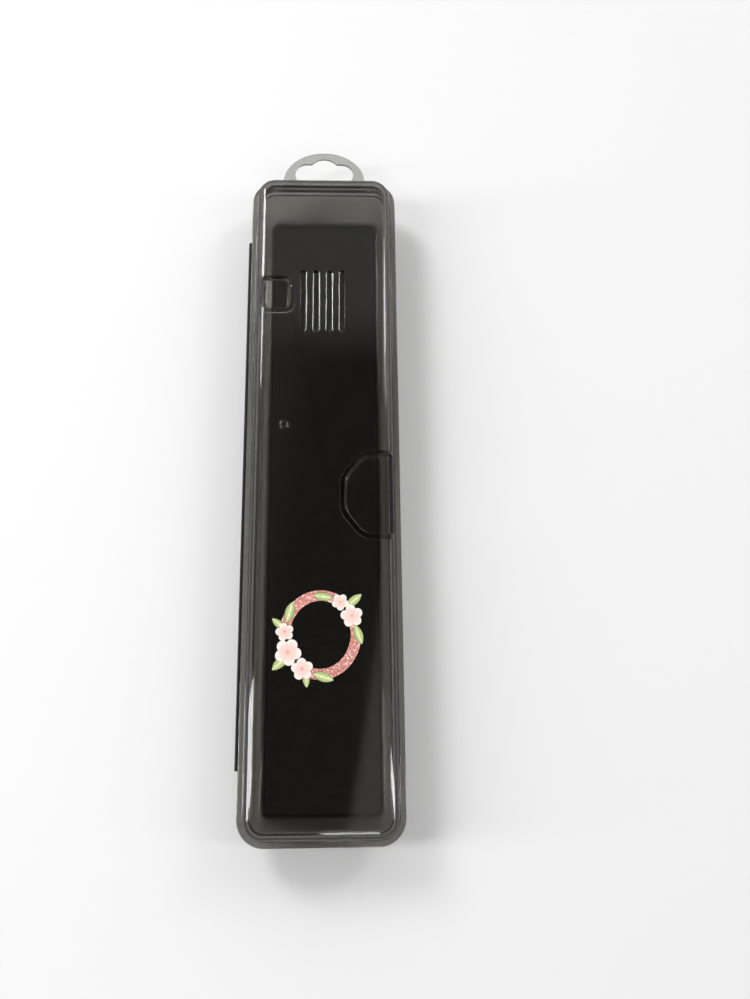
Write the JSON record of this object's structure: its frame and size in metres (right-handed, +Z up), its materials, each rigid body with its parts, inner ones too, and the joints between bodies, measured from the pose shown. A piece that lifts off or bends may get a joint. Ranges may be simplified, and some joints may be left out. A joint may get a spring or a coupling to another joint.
{
  "type": "travel toothbrush holder",
  "caption": "Slim smoky plastic toothbrush case: a lid with vent slots, a port and a thumb recess swings on a folding hinge strip over a lipped tray with a hook tab.",
  "frame": {"origin": "on the flat underside of the tray, below the middle of the case outline", "axes": "+Z up, +Y along the case towards the hook tab, +X towards the opening side, hinge at -X"},
  "size_m": [0.048, 0.222, 0.0201],
  "materials": {
    "smoky_case": "polished translucent smoky grey",
    "hinge_black": "smoky grey, folded, reads black",
    "clear_tab": "thin frosted light grey",
    "glitter_vinyl": "rose gold glitter",
    "blossom_print": "printed pale pink",
    "leaf_print": "printed olive green"
  },
  "bodies": {
    "base": {"base_tray": "smoky_case", "hang_tab": "clear_tab", "hinge_strip": "hinge_black"},
    "lid": {"lid_shell": "smoky_case", "decal_ring": "glitter_vinyl", "decal_blossoms": "blossom_print", "decal_leaves": "leaf_print"}
  },
  "joints": [
    {"name": "lid_hinge", "type": "hinge", "parent": "base", "child": "lid", "pos_m": [-0.024, 0, 0.01205], "axis": [0, -1, 0], "range_deg": [0, 180], "deforming": ["hinge_strip"]}
  ]
}
